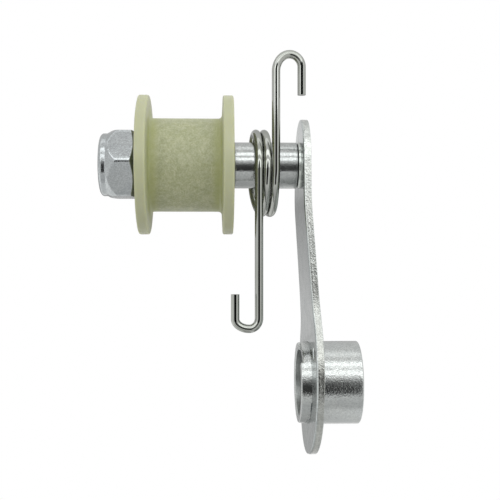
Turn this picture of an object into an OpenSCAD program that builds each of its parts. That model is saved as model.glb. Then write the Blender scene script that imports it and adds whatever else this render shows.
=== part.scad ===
// Chain tensioner. A grooved nylon roller turns on a stud at the free end of
// a joggled steel arm, a hooked torsion spring sits loosely round the stud,
// and a pivot bush stands through the eye at the other end of the arm.
// Origin: centre of the pivot bore. +X runs along both axes, from the nut
// towards the bush barrel. +Z runs from the pivot to the stud. Millimetres.

/* [Arm plate] */
// Distance from the pivot axis to the stud axis
axle_z = 43.3; // [42.5:0.1:46]
// Sheet thickness
plate_t = 1.5; // [1.2:0.1:2]
// Outer radius of the eye round the pivot bush
eye_r = 16; // [14:0.25:18]
// How far the eye's centre sits above the pivot axis
eye_lift = 1.75; // [0:0.25:3]
// Radius of the rounded top end
top_r = 9.1; // [8:0.1:11]
// How far each flank leans inwards on its way up, in degrees
flank_lean = 4.7; // [2:0.1:6]
// Radius of the flare between each flank and the eye
flare_r = 25; // [12:1:40]
// Sideways step of the joggle, from the eye to the stud end
joggle_step = 1.7; // [0.5:0.1:3]
// Slope of the arm inside the joggle, in degrees
joggle_angle = 3.9; // [3.5:0.1:8]
// Inside radius of both joggle bends
joggle_bend_r = 60; // [10:1:60]
// Height of the lower bend's centre above the pivot axis
joggle_z = 8.6; // [8:0.1:12]

/* [Pivot bush] */
// Radius of the pivot bore
bore_r = 6.5; // [5:0.1:7]
// Outer radius of the barrel
barrel_r = 8.2; // [8:0.1:10]
// Outer radius of the boss that passes through the plate
boss_r = 7.9; // [7.5:0.1:8]
// Whole length of the bush
bush_len = 12; // [10:0.5:20]
// Height of the boss above the plate's left face
boss_h = 1.95; // [1:0.05:3]
// Chamfer on the outer edges
bush_chamfer = 0.45; // [0.1:0.05:0.8]
// Chamfer at both mouths of the bore
bore_chamfer = 0.3; // [0.1:0.05:0.6]
// Depth of the worn step in the boss rim
rim_step = 0.5; // [0.1:0.1:0.8]

/* [Stud] */
// Radius of the thick part of the stud
shoulder_r = 4.575; // [4.3:0.025:5]
// Radius of the journal under the roller
journal_r = 4; // [3.5:0.05:4.2]
// Radius of the spigot riveted into the plate
spigot_r = 3.4; // [3:0.1:3.8]
// Length of the thick part, from the plate to the roller
shoulder_len = 12.75; // [12:0.05:13]

/* [Roller] */
// Radius of the flanges
flange_r = 13.75; // [12:0.25:16]
// Radius of the barrel that the chain runs on
groove_r = 9.2; // [7.5:0.1:10.5]
// Whole length between the outer flange faces
roller_len = 18.6; // [16:0.1:18.6]
// Flange thickness at the rim
flange_rim_t = 2.05; // [1.5:0.05:3]
// Extra flange thickness at the root, from the mould draft
flange_draft = 0.25; // [0:0.05:0.6]
// Rounding of the flange rims
rim_round = 0.45; // [0.2:0.05:0.8]
// Fillet where the barrel meets each flange
root_fillet = 1.2; // [0.4:0.1:2]
// Radial clearance between the bore and the journal
running_gap = 0.06; // [0.02:0.01:0.1]

/* [Lock nut] */
// Width across the flats
nut_af = 13; // [12.6:0.1:13.5]
// Length of the hexagon
nut_hex_h = 5.15; // [4:0.05:6]
// Length of the round collar over the insert
nut_collar_h = 2.35; // [2:0.05:3]
// Outer radius of the collar
collar_r = 6.2; // [5.9:0.05:6.4]
// Rounding of the collar's closed-over end
collar_round = 1.5; // [1:0.1:1.6]
// How far one corner is turned up from facing the viewer, in degrees
nut_turn = 1.5; // [-30:0.5:30]

/* [Torsion spring] */
// Wire diameter
wire_d = 1.6; // [1.2:0.1:1.6]
// Mean radius of the coil
coil_r = 7.88; // [7.8:0.02:8.2]
// Number of full turns
coil_turns = 2; // [2:1:2]
// Distance between neighbouring turns
coil_pitch = 1.66; // [1.62:0.01:1.8]
// Lean of the coil about the upright axis, in degrees
coil_yaw = 5.6; // [4:0.2:6]
// Highest point of the upper hook, above the pivot axis
upper_hook_top = 65.1; // [63:0.1:68]
// Height of the upper hook's cut end
upper_hook_end = 56.1; // [55.5:0.1:60]
// Mean bend radius of the upper hook
upper_hook_r = 2.52; // [2.2:0.02:2.6]
// Lowest point of the lower hook
lower_hook_bottom = 10.5; // [8:0.1:14]
// Height of the lower hook's cut end
lower_hook_end = 18.1; // [16:0.1:22]
// Mean bend radius of the lower hook
lower_hook_r = 2.3; // [1.8:0.02:2.8]

/* [Hidden] */
$fn = 96;

cut = 1;              // how far a cutter runs past the surface it opens
fit_gap = 0.02;       // gap between pieces fixed to each other
end_play = 0.28;      // free space at each end of the roller

bush_left = -bush_len / 2;
plate_low_x = bush_left + boss_h;
plate_top_x = plate_low_x - joggle_step;
plate_right_low_x = plate_low_x + plate_t;
shoulder_left = plate_top_x - shoulder_len;
hub_ring_h = 0.12;    // raised ring round the roller bore, at both ends
hub_ring_r = 5.3;
fillet_bite = 0.05;   // how far a fillet sinks into the walls it joins
roller_right = shoulder_left - end_play - hub_ring_h;
roller_left = roller_right - roller_len;
nut_face_x = roller_left - hub_ring_h - end_play;
collar_left = nut_face_x - nut_hex_h - nut_collar_h;
stud_end_x = collar_left + 0.35;

// Arm
plate_margin = 4;     // how far the bare strip runs past the outline
plate_reach = 40;     // width of the bare strip
bend_steps = 10;
eye_steps = 48;
flare_steps = 10;
top_steps = 24;
rivet_head_r = spigot_r + 0.7;
rivet_head_h = 0.6;
rim_step_z = 4.3;     // lower edge of the step worn into the boss rim
stake_ring_r = 10.2;
stake_r = 0.75;
stake_depth = 0.28;
stake_angle = 42;
stake_span = 15;

// Nut
hex_face_r = 5.85;
hex_chamfer_angle = 30;
insert_r = 5.3;
insert_h = 1.75;
lip_t = 0.4;
lip_r = 4.7;

// Spring
coil_y = 1.8;
coil_z = 42.05;
coil_x = -13.29;
wire_sides = 20;
coil_steps = 44;
hook_steps = 16;
wire_r = wire_d / 2;
end_round = 0.28;

// Placing

// Turns a shape drawn along +Z so that it runs along +X
module along_x(x, y = 0, z = 0) {
  translate([x, y, z])
    rotate([0, 90, 0])
      children();
}

// Turns a flat outline so that its x and y become the row's Y and Z
module upright_outline(x, h) {
  translate([x, 0, 0])
    rotate([90, 0, 90])
      linear_extrude(height = h)
        children();
}

// Arm plate

// Points of an arc, from angle a0 to a1
function arc_points(centre, r, a0, a1, n) = [
  for (i = [0 : n])
    let (a = a0 + (a1 - a0) * i / n)
      centre + r * [cos(a), sin(a)]
];

bend_turn = (2 * joggle_bend_r + plate_t) * (1 - cos(joggle_angle));
joggle_run = (joggle_step - bend_turn) / sin(joggle_angle);
joggle_top_z = joggle_z
  + (2 * joggle_bend_r + plate_t) * sin(joggle_angle)
  + joggle_run * cos(joggle_angle);

// One face of the joggled strip, seen along Y. off is the distance from the
// left face, so 0 and plate_t give the strip's two faces.
function joggle_face(off) = concat(
  [[plate_low_x + off, eye_lift - eye_r - plate_margin]],
  arc_points([plate_low_x - joggle_bend_r, joggle_z], joggle_bend_r + off,
             0, joggle_angle, bend_steps),
  arc_points([plate_top_x + joggle_bend_r + plate_t, joggle_top_z],
             joggle_bend_r + plate_t - off,
             180 + joggle_angle, 180, bend_steps),
  [[plate_top_x + off, axle_z + top_r + plate_margin]]
);

function reversed(list) = [for (i = [len(list) - 1 : -1 : 0]) list[i]];

module joggled_strip() {
  rotate([90, 0, 0])
    linear_extrude(height = plate_reach, center = true)
      polygon(concat(joggle_face(0), reversed(joggle_face(plate_t))));
}

// The flare is a circle that touches the flank and the eye from outside.
// Its centre is found from the eye's, across the flank and then along it.
eye_centre = [0, eye_lift];
top_centre = [0, axle_z];
across_flank = [cos(flank_lean), sin(flank_lean)];
along_flank = [-sin(flank_lean), cos(flank_lean)];
flare_out = top_r + flare_r + (axle_z - eye_lift) * sin(flank_lean);
flare_up = sqrt(pow(eye_r + flare_r, 2) - pow(flare_out, 2));
flare_centre = eye_centre + flare_out * across_flank + flare_up * along_flank;
eye_to_flare = flare_centre - eye_centre;
eye_touch_angle = atan2(eye_to_flare.y, eye_to_flare.x);

// Right half of the arm's stamped outline, from the bottom of the eye up
half_outline = concat(
  arc_points(eye_centre, eye_r, -90, eye_touch_angle, eye_steps),
  arc_points(flare_centre, flare_r, 180 + eye_touch_angle, 180 + flank_lean, flare_steps),
  arc_points(top_centre, top_r, flank_lean, 90, top_steps)
);

module arm_outline() {
  polygon(concat(
    half_outline,
    [for (i = [len(half_outline) - 2 : -1 : 1]) [-half_outline[i].x, half_outline[i].y]]
  ));
}

// Short curved dent pressed into the left face beside the boss
module stake_dent() {
  rotate([stake_angle, 0, 0])
    translate([plate_low_x - stake_r + stake_depth, -stake_ring_r, 0])
      rotate([stake_span / 2, 0, 0])
        translate([0, 0, -stake_span / 2 * PI * stake_ring_r / 180])
          cylinder(r = stake_r, h = stake_span * PI * stake_ring_r / 180);
}

module arm_plate() {
  color("#b4b8ba")
    difference() {
      intersection() {
        joggled_strip();
        upright_outline(plate_top_x - cut, joggle_step + plate_t + 2 * cut)
          arm_outline();
      }
      along_x(plate_low_x - cut)
        cylinder(r = boss_r + fit_gap, h = plate_t + 2 * cut);
      along_x(plate_top_x - cut, 0, axle_z)
        cylinder(r = spigot_r + fit_gap, h = plate_t + 2 * cut);
      along_x(plate_top_x + plate_t - rivet_head_h, 0, axle_z)
        cylinder(r1 = spigot_r + fit_gap, r2 = rivet_head_r + fit_gap, h = rivet_head_h);
      stake_dent();
    }
}

// Pivot bush

// Half section of the bush, radius against length from its left end
module bush_section() {
  shoulder = plate_right_low_x - bush_left + fit_gap;
  polygon([
    [bore_r + bore_chamfer, 0],
    [boss_r - bush_chamfer, 0],
    [boss_r, bush_chamfer],
    [boss_r, shoulder],
    [barrel_r, shoulder],
    [barrel_r, bush_len - bush_chamfer],
    [barrel_r - bush_chamfer, bush_len],
    [bore_r + bore_chamfer, bush_len],
    [bore_r, bush_len - bore_chamfer],
    [bore_r, bore_chamfer]
  ]);
}

module pivot_bush() {
  color("#c6c9ca")
    difference() {
      along_x(bush_left)
        rotate_extrude()
          bush_section();
      translate([bush_left - cut, -barrel_r - cut, rim_step_z])
        cube([cut + rim_step, barrel_r + cut, barrel_r]);
    }
}

// Stud

module axle_stud() {
  edge = 0.3;
  spigot_len = plate_t - rivet_head_h;
  color("#c3c6c8") {
    along_x(shoulder_left, 0, axle_z)
      cylinder(r1 = shoulder_r - edge, r2 = shoulder_r, h = edge);
    along_x(shoulder_left + edge, 0, axle_z)
      cylinder(r = shoulder_r, h = shoulder_len - edge);
    along_x(stud_end_x, 0, axle_z)
      cylinder(r1 = journal_r - 2 * edge, r2 = journal_r, h = 2 * edge);
    along_x(stud_end_x + 2 * edge, 0, axle_z)
      cylinder(r = journal_r, h = shoulder_left - stud_end_x - edge);
    along_x(plate_top_x - edge, 0, axle_z)
      cylinder(r = spigot_r, h = spigot_len + edge);
    along_x(plate_top_x + spigot_len, 0, axle_z)
      cylinder(r1 = spigot_r, r2 = rivet_head_r, h = rivet_head_h);
  }
}

// Roller

// Material that fills an inside corner with a radius, corner at the origin
module fillet_corner(r) {
  difference() {
    square(r);
    translate([r, r])
      circle(r = r);
  }
}

// Half section of one flange, outer face on the x axis
module flange_section() {
  root_t = flange_rim_t + flange_draft;
  straight_r = flange_r - rim_round;
  polygon([
    [journal_r + running_gap, 0], [straight_r, 0],
    [straight_r, flange_rim_t], [groove_r, root_t],
    [journal_r + running_gap, root_t]
  ]);
  translate([straight_r, rim_round])
    circle(r = rim_round);
  translate([straight_r, flange_rim_t - rim_round])
    circle(r = rim_round);
  translate([straight_r - rim_round, rim_round])
    square([2 * rim_round, flange_rim_t - 2 * rim_round]);
  translate([groove_r - fillet_bite, root_t - fillet_bite])
    fillet_corner(root_fillet);
}

module roller() {
  inner_r = journal_r + running_gap;
  color("#b6bd96")
    along_x(roller_left, 0, axle_z)
      rotate_extrude() {
        translate([inner_r, 0])
          square([groove_r - inner_r, roller_len]);
        flange_section();
        translate([0, roller_len])
          mirror([0, 1])
            flange_section();
        translate([inner_r, -hub_ring_h])
          square([hub_ring_r - inner_r, roller_len + 2 * hub_ring_h]);
      }
}

// Lock nut

// Hexagon with both ends turned back to a cone
module hexagon_body() {
  far_r = hex_face_r + nut_hex_h / tan(hex_chamfer_angle);
  intersection() {
    rotate([0, 0, -90 - nut_turn])
      cylinder(r = nut_af / 2 / cos(30), h = nut_hex_h, $fn = 6);
    cylinder(r1 = hex_face_r, r2 = far_r, h = nut_hex_h);
    cylinder(r1 = far_r, r2 = hex_face_r, h = nut_hex_h);
  }
}

// Half section of the collar, closed over the insert. x is the radius and y
// runs outwards from the hexagon.
module collar_section() {
  flat_r = collar_r - collar_round;
  translate([0, -nut_hex_h / 2])
    square([collar_r, nut_hex_h / 2 + nut_collar_h - collar_round]);
  translate([0, -nut_hex_h / 2])
    square([flat_r, nut_hex_h / 2 + nut_collar_h]);
  translate([flat_r, nut_collar_h - collar_round])
    circle(r = collar_round);
}

module lock_nut() {
  seat_depth = lip_t + insert_h + 2 * fit_gap;
  color("#aeb3b6")
    along_x(collar_left, 0, axle_z)
      difference() {
        union() {
          translate([0, 0, nut_collar_h])
            hexagon_body();
          translate([0, 0, nut_collar_h])
            mirror([0, 0, 1])
              rotate_extrude()
                collar_section();
        }
        translate([0, 0, -cut])
          cylinder(r = journal_r + fit_gap, h = nut_hex_h + nut_collar_h + 2 * cut);
        translate([0, 0, lip_t])
          cylinder(r = insert_r + fit_gap, h = seat_depth - lip_t);
        translate([0, 0, -cut])
          cylinder(r = lip_r, h = cut + lip_t + fit_gap);
      }
}

module nut_insert() {
  color("#d9dccb")
    along_x(collar_left + lip_t + fit_gap, 0, axle_z)
      difference() {
        cylinder(r = insert_r, h = insert_h);
        translate([0, 0, -cut])
          cylinder(r = journal_r + fit_gap, h = insert_h + 2 * cut);
      }
}

// Torsion spring

near_y = -coil_r;
low_leg_x = -coil_pitch * coil_turns / 2;
high_leg_x = coil_pitch * coil_turns / 2;
low_arc_z = lower_hook_bottom + wire_r + lower_hook_r - coil_z;
high_arc_z = upper_hook_top - wire_r - upper_hook_r - coil_z;
low_end = [low_leg_x - 2 * lower_hook_r, near_y, lower_hook_end - coil_z];
high_end = [high_leg_x + 2 * upper_hook_r, near_y, upper_hook_end - coil_z];

// Stations along the wire from the lower cut end to the upper one. Each one is
// a point of the centre line and the wire's radius there.
function lower_hook_stations() = [
  for (i = [0 : hook_steps])
    let (
      a = 180 + 180 * i / hook_steps,
      x = low_leg_x - lower_hook_r + lower_hook_r * cos(a)
    )
      [[x, near_y, low_arc_z + lower_hook_r * sin(a)], wire_r]
];

function coil_stations() = [
  for (i = [0 : coil_turns * coil_steps])
    let (a = 360 * i / coil_steps)
      [[low_leg_x + coil_pitch * a / 360, -coil_r * cos(a), coil_r * sin(a)], wire_r]
];

function upper_hook_stations() = [
  for (i = [0 : hook_steps])
    let (
      a = 180 - 180 * i / hook_steps,
      x = high_leg_x + upper_hook_r + upper_hook_r * cos(a)
    )
      [[x, near_y, high_arc_z + upper_hook_r * sin(a)], wire_r]
];

stations = concat(
  [[low_end, wire_r - end_round], [low_end - [0, 0, end_round], wire_r]],
  lower_hook_stations(),
  coil_stations(),
  upper_hook_stations(),
  [[high_end + [0, 0, end_round], wire_r], [high_end, wire_r - end_round]]
);

function unit(v) = v / norm(v);

function tangent(i) =
  let (last = len(stations) - 1)
    unit(stations[min(i + 1, last)][0] - stations[max(i - 1, 0)][0]);

// Carries the first ring's direction along the wire without twisting it
ring_normals = [
  for (i = 0, n = [1, 0, 0]; i < len(stations); i = i + 1, n = unit(n - (n * tangent(i)) * tangent(i))) n
];

function ring(i) =
  let (
    t = tangent(i),
    n = ring_normals[i],
    b = cross(t, n)
  ) [
    for (k = [0 : wire_sides - 1])
      let (a = 360 * k / wire_sides)
        stations[i][0] + stations[i][1] * (n * cos(a) + b * sin(a))
  ];

module torsion_spring() {
  rings = len(stations);
  points = [for (i = [0 : rings - 1]) each ring(i)];
  skin = [
    for (i = [0 : rings - 2], k = [0 : wire_sides - 1])
      let (
        m = (k + 1) % wire_sides,
        a = i * wire_sides + k,
        b = i * wire_sides + m,
        c = (i + 1) * wire_sides + k,
        d = (i + 1) * wire_sides + m
      )
        each [[a, c, d], [a, d, b]]
  ];
  first_cap = [[for (k = [0 : wire_sides - 1]) k]];
  last_cap = [[for (k = [wire_sides - 1 : -1 : 0]) (rings - 1) * wire_sides + k]];
  color("#8f9496")
    translate([coil_x, coil_y, coil_z])
      rotate([0, 0, coil_yaw])
        polyhedron(points = points, faces = concat(skin, first_cap, last_cap));
}

arm_plate();
pivot_bush();
axle_stud();
lock_nut();
nut_insert();
roller();
torsion_spring();
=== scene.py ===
import math
from functools import partial, reduce

import bmesh
import bpy
import numpy as np
from bpy.props import (
    FloatProperty, FloatVectorProperty, IntProperty, PointerProperty,
)
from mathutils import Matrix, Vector, noise
from mathutils.geometry import delaunay_2d_cdt


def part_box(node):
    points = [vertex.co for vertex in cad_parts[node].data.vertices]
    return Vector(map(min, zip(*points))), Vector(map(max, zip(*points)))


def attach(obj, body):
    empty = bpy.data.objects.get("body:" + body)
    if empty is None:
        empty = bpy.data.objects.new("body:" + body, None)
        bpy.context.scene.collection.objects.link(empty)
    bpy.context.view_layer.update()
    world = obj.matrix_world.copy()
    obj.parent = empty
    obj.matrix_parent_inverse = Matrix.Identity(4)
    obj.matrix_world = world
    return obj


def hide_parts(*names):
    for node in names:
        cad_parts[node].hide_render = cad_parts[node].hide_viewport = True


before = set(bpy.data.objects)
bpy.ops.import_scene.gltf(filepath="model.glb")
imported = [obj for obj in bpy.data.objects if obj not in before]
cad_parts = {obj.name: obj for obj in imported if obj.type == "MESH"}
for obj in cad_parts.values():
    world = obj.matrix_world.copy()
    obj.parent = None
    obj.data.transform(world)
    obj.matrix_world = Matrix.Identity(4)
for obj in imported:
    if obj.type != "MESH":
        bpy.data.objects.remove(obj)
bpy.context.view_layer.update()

bl_info = {
    "name": "Chain tensioner",
    "version": (1, 0, 0),
    "blender": (4, 5, 0),
    "location": "3D View > Sidebar > Tensioner",
    "description": "Dresses a chain tensioner: arm, bush, stud, roller, lock nut and spring",
    "category": "Object",
}

# The frame is in metres. Sections and outlines are written in millimetres.
MM = 0.001
AXLE_Z = (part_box("axle_stud")[0].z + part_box("axle_stud")[1].z) / 2 / MM

# Places along X, in millimetres
BUSH_LEFT, BUSH_RIGHT = -6.0, 6.0
PLATE_LOW_X, PLATE_TOP_X = -4.05, -5.75
SHOULDER_LEFT = -18.72
ROLLER_LEFT, ROLLER_RIGHT = -37.5, -18.9
NUT_FACE_X = -37.9
STUD_END_X = -45.05
# The axle's axis and the middle of the spring's coil, in metres
AXLE = (0, 0, AXLE_Z * MM)
COIL = Vector((-0.01319, 0.0018, 0.04188))


# Settings

def length(name, description, default, **more):
    return FloatProperty(name=name, description=description, default=default,
                         unit="LENGTH", subtype="DISTANCE", precision=5, **more)


def colour(name, description, default):
    return FloatVectorProperty(name=name, description=description, default=default,
                               subtype="COLOR", size=3, min=0.0, max=1.0)


def angle(name, description, degrees):
    return FloatProperty(name=name, description=description, default=math.radians(degrees),
                         subtype="ANGLE", unit="ROTATION")


class ArmSettings(bpy.types.PropertyGroup):
    thickness: length("Thickness", "Sheet thickness of the arm", 0.0015)
    eye_radius: length("Eye radius", "Radius of the eye round the bush", 0.016)
    top_radius: length("Top radius", "Radius of the rounded top end", 0.0091)
    flat_bottom: length("Flat bottom", "How far the bottom of the eye is short of round", 0.0003)
    bend_radius: length("Bend radius", "Inside radius of both joggle bends", 0.06)
    rolled_edge: length("Rolled edge", "How far the punch rolled the left edge in", 0.00013)
    cut_relief: length("Cut relief", "Depth of the torn grain on the cut edge", 0.000012)
    tint: colour("Sheet colour", "Colour of the plated sheet", (0.52, 0.552, 0.542))


class TurnedSettings(bpy.types.PropertyGroup):
    bore_radius: length("Bore radius", "Radius of the pivot bore", 0.0065)
    barrel_radius: length("Barrel radius", "Outer radius of the bush barrel", 0.0082)
    boss_radius: length("Boss radius", "Outer radius of the boss in the plate", 0.0079)
    shoulder_radius: length("Shoulder radius", "Radius of the thick part of the stud", 0.004575)
    journal_radius: length("Journal radius", "Radius of the stud under the roller", 0.004)
    thread_pitch: length("Thread pitch", "Pitch of the stud's thread", 0.00125)
    tint: colour("Turned colour", "Colour of the plated turned parts", (0.425, 0.44, 0.43))


class RollerSettings(bpy.types.PropertyGroup):
    flange_radius: length("Flange radius", "Radius of both flanges", 0.01375)
    barrel_radius: length("Barrel radius", "Radius that the chain runs on", 0.0092)
    rim_round: length("Rim rounding", "Rounding of the flange rims", 0.00036)
    flash: length("Parting line", "Height of the mould's parting line", 0.00004)
    tint: colour("Nylon colour", "Colour of the roller", (0.42, 0.438, 0.268))
    # The root colour is painted shade in the corners beside the flanges
    root_shade_tint: colour("Root colour", "Deeper colour beside the flanges", (0.40, 0.42, 0.17))


class NutSettings(bpy.types.PropertyGroup):
    across_flats: length("Across flats", "Width across the flats", 0.013)
    cone_end: length("Cone end", "Distance from the seat to where the cone meets the collar", 0.00575)
    collar_length: length("Collar length", "Length of the collar past the cone", 0.00145)
    collar_radius: length("Collar radius", "Outer radius of the collar", 0.0062)
    corner_round: length("Corner rounding", "Softness of the hexagon's corners", 0.0003)
    turn: angle("Turn", "How far one corner is turned up", 1.5)
    tint: colour("Nut colour", "Colour of the plated nut", (0.40, 0.42, 0.422))
    insert_tint: colour("Insert colour", "Colour of the nylon insert", (0.74, 0.75, 0.68))


class SpringSettings(bpy.types.PropertyGroup):
    wire_diameter: length("Wire diameter", "Diameter of the wire", 0.00163)
    coil_radius: length("Coil radius", "Mean radius of the coil", 0.00795)
    pitch: length("Pitch", "Distance between neighbouring turns", 0.00166)
    turns: IntProperty(name="Turns", description="Number of full turns", default=2, min=1)
    lean: angle("Lean", "Lean of the coil about the upright axis", 5.6)
    upper_top: length("Upper hook top", "Highest point of the upper hook", 0.0651)
    upper_end: length("Upper hook end", "Height of the upper cut end", 0.05645)
    upper_leg_bend: length("Upper leg bend", "Width of the upper bend on the leg's side", 0.0027)
    upper_leg_drop: length("Upper leg drop", "Height of the upper bend on the leg's side", 0.00335)
    upper_end_bend: length("Upper end bend", "Width of the upper bend on the end's side", 0.00232)
    upper_end_drop: length("Upper end drop", "Height of the upper bend on the end's side", 0.0024)
    lower_bottom: length("Lower hook bottom", "Lowest point of the lower hook", 0.0105)
    lower_end: length("Lower hook end", "Height of the lower cut end", 0.01795)
    lower_leg_bend: length("Lower leg bend", "Width of the lower bend on the leg's side", 0.00185)
    lower_leg_drop: length("Lower leg drop", "Height of the lower bend on the leg's side", 0.002)
    lower_end_bend: length("Lower end bend", "Width of the lower bend on the end's side", 0.00277)
    lower_end_drop: length("Lower end drop", "Height of the lower bend on the end's side", 0.0019)
    sway: length("Sway", "How far the bottom of each turn is pushed along the stud", 0.00055)
    end_round: length("End rounding", "Rounding of both cut ends", 0.0004)
    tint: colour("Wire colour", "Colour of the polished wire", (0.38, 0.39, 0.365))


class StageSettings(bpy.types.PropertyGroup):
    floor_height: length("Floor height", "Height of the floor", -0.14)
    lamp_level: FloatProperty(name="Lamp level", description="Brightness of both strip lamps",
                              default=1.48, min=0.0)
    sky_level: FloatProperty(name="Sky level", description="Even light from all around",
                             default=0.61, min=0.0)
    paper: colour("Paper", "Colour of the floor", (0.78, 0.78, 0.78))
    lens: FloatProperty(name="Lens", description="Focal length of the camera in millimetres",
                        default=63.36, min=1.0)


SETTINGS = {
    "tensioner_arm": ArmSettings,
    "tensioner_turned": TurnedSettings,
    "tensioner_roller": RollerSettings,
    "tensioner_nut": NutSettings,
    "tensioner_spring": SpringSettings,
    "tensioner_stage": StageSettings,
}


# Node helpers

def plug(socket, value):
    """Links a socket or sets its value."""
    if isinstance(value, bpy.types.NodeSocket):
        socket.id_data.links.new(value, socket)
    elif value is not None:
        socket.default_value = value


def node(tree, kind, inputs=None, **settings):
    made = tree.nodes.new(kind)
    for key, value in settings.items():
        setattr(made, key, value)
    for key, value in (inputs or {}).items():
        plug(made.inputs[key], value)
    return made


def linked(kind, inputs, **settings):
    """A node in the tree that its inputs come from."""
    tree = next(value.id_data for value in inputs.values()
                if isinstance(value, bpy.types.NodeSocket))
    return node(tree, kind, inputs, **settings)


def maths(operation, *values, clamp=False):
    return linked("ShaderNodeMath", dict(enumerate(values)),
                  operation=operation, use_clamp=clamp).outputs[0]


def chain(operation):
    """Makes a function that joins any number of values by one operation."""
    def joined(*values):
        return reduce(partial(maths, operation), values)
    return joined


plus, minus, times, over, larger = map(chain, ("ADD", "SUBTRACT", "MULTIPLY", "DIVIDE", "MAXIMUM"))


def vector_maths(operation, *values):
    return linked("ShaderNodeVectorMath", dict(enumerate(values)), operation=operation).outputs


def split(vector):
    """The X, Y and Z of a vector."""
    return linked("ShaderNodeSeparateXYZ", {0: vector}).outputs


def join(x=0.0, y=0.0, z=0.0):
    return linked("ShaderNodeCombineXYZ", {0: x, 1: y, 2: z}).outputs[0]


def off_axis(vector):
    """Distance from the X axis."""
    _, y, z = split(vector)
    return vector_maths("LENGTH", join(0.0, y, z))["Value"]


def span(value, low, high, start=0.0, end=1.0, smooth=True):
    """Maps low..high of a value onto start..end."""
    return linked("ShaderNodeMapRange", {0: value, 1: low, 2: high, 3: start, 4: end},
                  interpolation_type="SMOOTHSTEP" if smooth else "LINEAR").outputs[0]


def fall(value, low, high):
    """1 up to low and 0 from high on."""
    return span(value, low, high, 1.0, 0.0)


def mix_colour(factor, one, other, blend="MIX"):
    return linked("ShaderNodeMix", {0: factor, 6: one, 7: other},
                  data_type="RGBA", blend_type=blend).outputs[2]


def tinted(one, other):
    """One colour multiplied by the other."""
    return mix_colour(1.0, one, other, "MULTIPLY")


def noise_value(vector, scale, detail=3.0, roughness=0.5, distortion=0.0):
    return linked("ShaderNodeTexNoise", {
        "Vector": vector, "Scale": scale, "Detail": detail,
        "Roughness": roughness, "Distortion": distortion}).outputs["Fac"]


def attribute(tree, name, output="Fac"):
    return node(tree, "ShaderNodeAttribute", attribute_name=name).outputs[output]


def present(socket):
    """What feeds a socket now."""
    return socket.links[0].from_socket


def group(name, inputs, outputs):
    """Starts a shader node group; returns its tree, inputs and outputs."""
    tree = bpy.data.node_groups.new(name, "ShaderNodeTree")
    for label, kind, default in inputs:
        socket = tree.interface.new_socket(label, in_out="INPUT", socket_type=kind)
        if default is not None:
            socket.default_value = default
    for label, kind in outputs:
        tree.interface.new_socket(label, in_out="OUTPUT", socket_type=kind)
    return tree, tree.nodes.new("NodeGroupInput").outputs, tree.nodes.new("NodeGroupOutput").inputs


def use_group(build, inputs):
    """Places a shared effect, built on its first use, and returns its outputs."""
    shared = bpy.data.node_groups.get(build.__name__) or build(build.__name__)
    return linked("ShaderNodeGroup", inputs, node_tree=shared).outputs


NUMBER, COLOUR, VECTOR = "NodeSocketFloat", "NodeSocketColor", "NodeSocketVector"
WHITE, BLACK = (1, 1, 1, 1), (0, 0, 0, 1)


# Shared effects

def plating(name):
    """Zinc plating: cloudy tint, crystal grain and patches of other gloss."""
    tree, given, leave = group(name, [
        ("Vector", VECTOR, None), ("Tint", COLOUR, (0.5, 0.5, 0.5, 1)),
        ("Grain Size", NUMBER, 0.25), ("Gloss Low", NUMBER, 0.15),
        ("Gloss High", NUMBER, 0.3), ("Cloudiness", NUMBER, 0.2),
    ], [("Color", COLOUR), ("Roughness", NUMBER), ("Height", NUMBER)])
    vector, tint = given["Vector"], given["Tint"]
    fine = over(1.0 / MM, given["Grain Size"])
    cloud = noise_value(vector, 170.0, 4.0, 0.6, 0.4)
    grain = noise_value(vector, fine, 2.0, 0.6)
    flake = linked("ShaderNodeTexVoronoi", {"Vector": vector, "Scale": fine}).outputs
    body = mix_colour(span(cloud, 0.38, 0.62), tinted(tint, (0.80, 0.83, 0.86, 1)),
                      tinted(tint, (1.14, 1.13, 1.10, 1)))
    tone = mix_colour(given["Cloudiness"], tint, body)
    speck = span(flake["Color"], 0.2, 0.8, 0.90, 1.08)
    plug(leave["Color"], tinted(tone, speck))
    patch = span(noise_value(vector, 420.0, 5.0, 0.65, 0.3), 0.35, 0.65)
    gloss = span(patch, 0.0, 1.0, given["Gloss Low"], given["Gloss High"], smooth=False)
    plug(leave["Roughness"], gloss)
    plug(leave["Height"], plus(grain, times(flake["Distance"], 0.35)))
    return tree


def turning_lines(name):
    """Fine rings that a lathe tool leaves round an axis along X."""
    tree, given, leave = group(name, [
        ("Vector", VECTOR, None), ("Ring Spacing", NUMBER, 0.12), ("Waviness", NUMBER, 0.4),
    ], [("Height", NUMBER)])
    x, y, z = split(given["Vector"])
    turn = maths("SINE", maths("ARCTAN2", z, y))
    along = plus(x, times(turn, given["Waviness"], 0.00002))
    rings = join(along, off_axis(given["Vector"]))
    fine = over(1.0 / MM, given["Ring Spacing"])
    plug(leave["Height"], noise_value(rings, fine, 2.0, 0.7))
    return tree


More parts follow.
